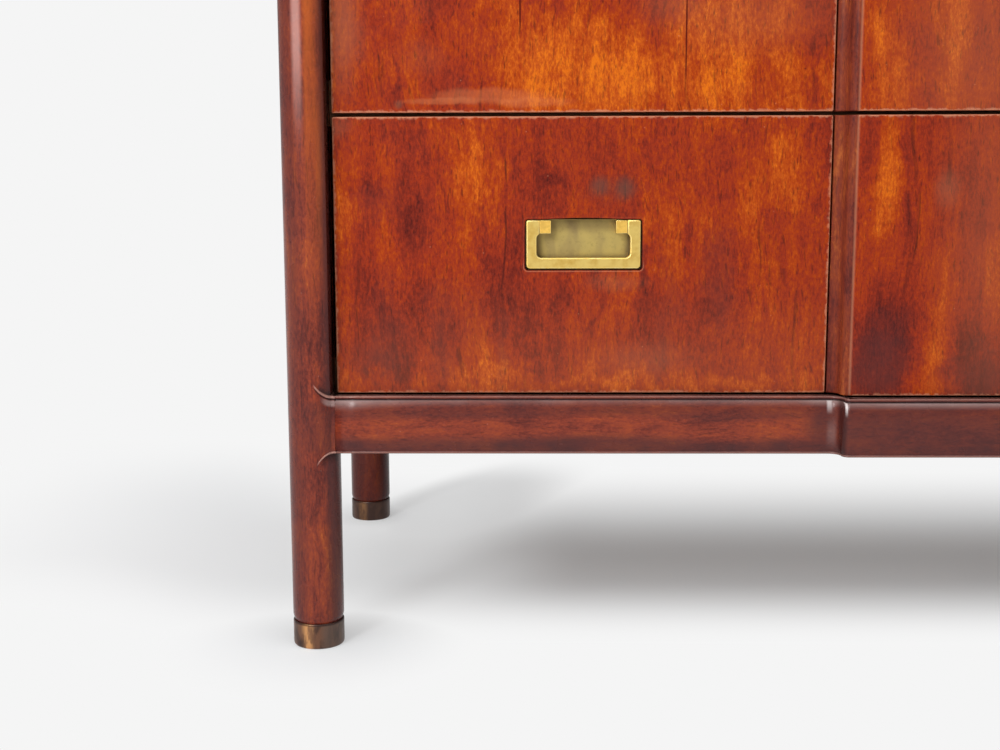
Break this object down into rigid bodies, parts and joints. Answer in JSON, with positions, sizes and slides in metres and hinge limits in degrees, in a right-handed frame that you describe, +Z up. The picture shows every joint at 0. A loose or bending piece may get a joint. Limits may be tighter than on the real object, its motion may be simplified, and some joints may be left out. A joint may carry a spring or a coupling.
{
  "type": "campaign chest",
  "caption": "Wide breakfront chest of drawers on round corner posts, with a raised centre bank, flush brass pulls, a moulded base rail and brass foot ferrules.",
  "frame": {"origin": "on the floor under the middle of the overall box", "axes": "+X along the front to the viewer's right, -Y towards the front of the drawers, +Z up"},
  "size_m": [1.5262, 0.4974, 0.8469],
  "materials": {
    "dark_hardwood": "dark red-brown hardwood, aged lacquer",
    "figured_veneer": "figured orange-red veneer under glossy lacquer",
    "carcase_wood": "plain oiled secondary wood",
    "drawer_wood": "pale secondary wood, waxed",
    "aged_brass": "aged brass, dull olive",
    "bright_brass": "satin polished brass"
  },
  "bodies": {
    "case": {"post_front_left": "dark_hardwood", "post_front_right": "dark_hardwood", "post_rear_left": "dark_hardwood", "post_rear_right": "dark_hardwood", "ferrule_front_left": "aged_brass", "ferrule_front_right": "aged_brass", "ferrule_rear_left": "aged_brass", "ferrule_rear_right": "aged_brass", "front_rail": "dark_hardwood", "rear_rail": "dark_hardwood", "side_rail_left": "dark_hardwood", "side_rail_right": "dark_hardwood", "side_panel_left": "figured_veneer", "side_panel_right": "figured_veneer", "back_panel": "carcase_wood", "top_board": "figured_veneer", "divider_left": "carcase_wood", "divider_right": "carcase_wood", "dust_boards_bottom": "carcase_wood", "dust_boards_middle": "carcase_wood", "dust_boards_top": "carcase_wood", "drawer_guides": "carcase_wood", "drawer_stops": "carcase_wood"},
    "drawer_left_bottom": {"drawer_front_left_bottom": "figured_veneer", "drawer_box_left_bottom": "drawer_wood", "pull_plate_left_bottom": "aged_brass"},
    "bail_left_bottom": {"pull_bail_left_bottom": "bright_brass"},
    "drawer_left_middle": {"drawer_front_left_middle": "figured_veneer", "drawer_box_left_middle": "drawer_wood", "pull_plate_left_middle": "aged_brass"},
    "bail_left_middle": {"pull_bail_left_middle": "bright_brass"},
    "drawer_left_top": {"drawer_front_left_top": "figured_veneer", "drawer_box_left_top": "drawer_wood", "pull_plate_left_top": "aged_brass"},
    "bail_left_top": {"pull_bail_left_top": "bright_brass"},
    "drawer_centre_bottom": {"drawer_front_centre_bottom": "figured_veneer", "drawer_box_centre_bottom": "drawer_wood", "pull_plate_centre_bottom": "aged_brass"},
    "bail_centre_bottom": {"pull_bail_centre_bottom": "bright_brass"},
    "drawer_centre_middle": {"drawer_front_centre_middle": "figured_veneer", "drawer_box_centre_middle": "drawer_wood", "pull_plate_centre_middle": "aged_brass"},
    "bail_centre_middle": {"pull_bail_centre_middle": "bright_brass"},
    "drawer_centre_top": {"drawer_front_centre_top": "figured_veneer", "drawer_box_centre_top": "drawer_wood", "pull_plate_centre_top": "aged_brass"},
    "bail_centre_top": {"pull_bail_centre_top": "bright_brass"},
    "drawer_right_bottom": {"drawer_front_right_bottom": "figured_veneer", "drawer_box_right_bottom": "drawer_wood", "pull_plate_right_bottom": "aged_brass"},
    "bail_right_bottom": {"pull_bail_right_bottom": "bright_brass"},
    "drawer_right_middle": {"drawer_front_right_middle": "figured_veneer", "drawer_box_right_middle": "drawer_wood", "pull_plate_right_middle": "aged_brass"},
    "bail_right_middle": {"pull_bail_right_middle": "bright_brass"},
    "drawer_right_top": {"drawer_front_right_top": "figured_veneer", "drawer_box_right_top": "drawer_wood", "pull_plate_right_top": "aged_brass"},
    "bail_right_top": {"pull_bail_right_top": "bright_brass"}
  },
  "joints": [
    {"name": "slide_left_bottom", "type": "slide", "parent": "case", "child": "drawer_left_bottom", "axis": [0, -1, 0], "range_m": [0, 0.33]},
    {"name": "swing_left_bottom", "type": "hinge", "parent": "drawer_left_bottom", "child": "bail_left_bottom", "pos_m": [-0.50615, -0.2035, 0.36125], "axis": [-1, 0, 0], "range_deg": [0, 90]},
    {"name": "slide_left_middle", "type": "slide", "parent": "case", "child": "drawer_left_middle", "axis": [0, -1, 0], "range_m": [0, 0.33]},
    {"name": "swing_left_middle", "type": "hinge", "parent": "drawer_left_middle", "child": "bail_left_middle", "pos_m": [-0.50615, -0.2035, 0.59575], "axis": [-1, 0, 0], "range_deg": [0, 90]},
    {"name": "slide_left_top", "type": "slide", "parent": "case", "child": "drawer_left_top", "axis": [0, -1, 0], "range_m": [0, 0.33]},
    {"name": "swing_left_top", "type": "hinge", "parent": "drawer_left_top", "child": "bail_left_top", "pos_m": [-0.50615, -0.2035, 0.7735], "axis": [-1, 0, 0], "range_deg": [0, 90]},
    {"name": "slide_centre_bottom", "type": "slide", "parent": "case", "child": "drawer_centre_bottom", "axis": [0, -1, 0], "range_m": [0, 0.33]},
    {"name": "swing_centre_bottom", "type": "hinge", "parent": "drawer_centre_bottom", "child": "bail_centre_bottom", "pos_m": [0, -0.2189, 0.36125], "axis": [-1, 0, 0], "range_deg": [0, 90]},
    {"name": "slide_centre_middle", "type": "slide", "parent": "case", "child": "drawer_centre_middle", "axis": [0, -1, 0], "range_m": [0, 0.33]},
    {"name": "swing_centre_middle", "type": "hinge", "parent": "drawer_centre_middle", "child": "bail_centre_middle", "pos_m": [0, -0.2189, 0.59575], "axis": [-1, 0, 0], "range_deg": [0, 90]},
    {"name": "slide_centre_top", "type": "slide", "parent": "case", "child": "drawer_centre_top", "axis": [0, -1, 0], "range_m": [0, 0.33]},
    {"name": "swing_centre_top", "type": "hinge", "parent": "drawer_centre_top", "child": "bail_centre_top", "pos_m": [0, -0.2189, 0.7735], "axis": [-1, 0, 0], "range_deg": [0, 90]},
    {"name": "slide_right_bottom", "type": "slide", "parent": "case", "child": "drawer_right_bottom", "axis": [0, -1, 0], "range_m": [0, 0.33]},
    {"name": "swing_right_bottom", "type": "hinge", "parent": "drawer_right_bottom", "child": "bail_right_bottom", "pos_m": [0.50615, -0.2035, 0.36125], "axis": [-1, 0, 0], "range_deg": [0, 90]},
    {"name": "slide_right_middle", "type": "slide", "parent": "case", "child": "drawer_right_middle", "axis": [0, -1, 0], "range_m": [0, 0.33]},
    {"name": "swing_right_middle", "type": "hinge", "parent": "drawer_right_middle", "child": "bail_right_middle", "pos_m": [0.50615, -0.2035, 0.59575], "axis": [-1, 0, 0], "range_deg": [0, 90]},
    {"name": "slide_right_top", "type": "slide", "parent": "case", "child": "drawer_right_top", "axis": [0, -1, 0], "range_m": [0, 0.33]},
    {"name": "swing_right_top", "type": "hinge", "parent": "drawer_right_top", "child": "bail_right_top", "pos_m": [0.50615, -0.2035, 0.7735], "axis": [-1, 0, 0], "range_deg": [0, 90]}
  ]
}
